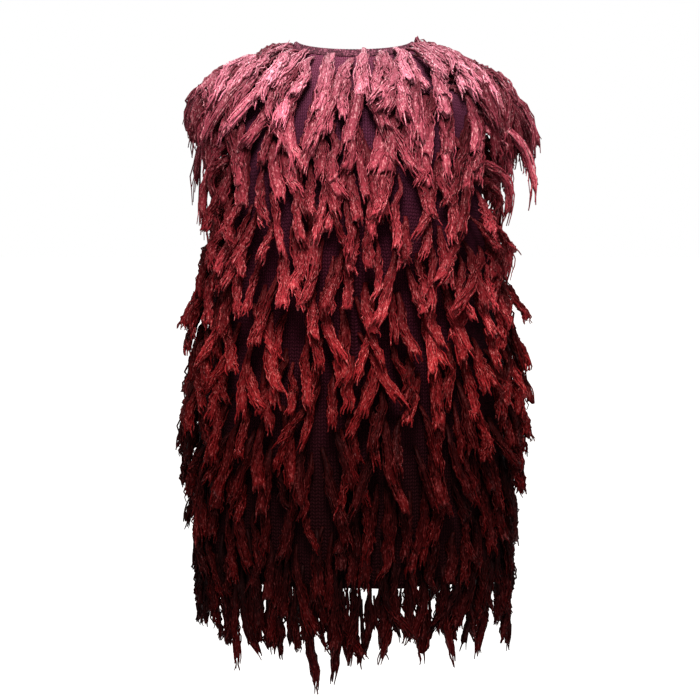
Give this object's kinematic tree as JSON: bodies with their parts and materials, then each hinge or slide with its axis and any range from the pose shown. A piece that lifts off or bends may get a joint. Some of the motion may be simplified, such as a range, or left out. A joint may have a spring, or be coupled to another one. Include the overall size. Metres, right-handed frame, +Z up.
{
  "type": "sleeveless jacket",
  "caption": "Sleeveless open-front knitted jacket covered in shingled rows of cut yarn fringe, in the hollow shape it has when worn.",
  "frame": {"origin": "midway between the two points where a shoulder seam meets the neck edge, where the wearer's shoulders hold it", "axes": "+Z up, the front faces -Y, +X is the wearer's left"},
  "size_m": [0.4209, 0.2982, 0.7674],
  "materials": {
    "knit_ground": "matt plain knit in dark purple-red yarn, nearly hidden by the fringe",
    "neck_band": "plain knitted band, dark rose to maroon",
    "fringe_yarn": "glossy cut yarn in dark wine red, with soft rose highlights"
  },
  "bodies": {
    "root": {"back_panel": "knit_ground", "front_panel_left": "knit_ground", "front_panel_right": "knit_ground", "neck_band": "neck_band", "back_fringe_01": "fringe_yarn", "back_fringe_02": "fringe_yarn", "back_fringe_03": "fringe_yarn", "back_fringe_04": "fringe_yarn", "back_fringe_05": "fringe_yarn", "back_fringe_06": "fringe_yarn", "back_fringe_07": "fringe_yarn", "back_fringe_08": "fringe_yarn", "back_fringe_09": "fringe_yarn", "back_fringe_10": "fringe_yarn", "back_fringe_11": "fringe_yarn", "front_fringe_left_01": "fringe_yarn", "front_fringe_left_02": "fringe_yarn", "front_fringe_left_03": "fringe_yarn", "front_fringe_left_04": "fringe_yarn", "front_fringe_left_05": "fringe_yarn", "front_fringe_left_06": "fringe_yarn", "front_fringe_left_07": "fringe_yarn", "front_fringe_left_08": "fringe_yarn", "front_fringe_left_09": "fringe_yarn", "front_fringe_left_10": "fringe_yarn", "front_fringe_left_11": "fringe_yarn", "front_fringe_right_01": "fringe_yarn", "front_fringe_right_02": "fringe_yarn", "front_fringe_right_03": "fringe_yarn", "front_fringe_right_04": "fringe_yarn", "front_fringe_right_05": "fringe_yarn", "front_fringe_right_06": "fringe_yarn", "front_fringe_right_07": "fringe_yarn", "front_fringe_right_08": "fringe_yarn", "front_fringe_right_09": "fringe_yarn", "front_fringe_right_10": "fringe_yarn", "front_fringe_right_11": "fringe_yarn", "armhole_fringe_left": "fringe_yarn", "armhole_fringe_right": "fringe_yarn"}
  },
  "joints": []
}
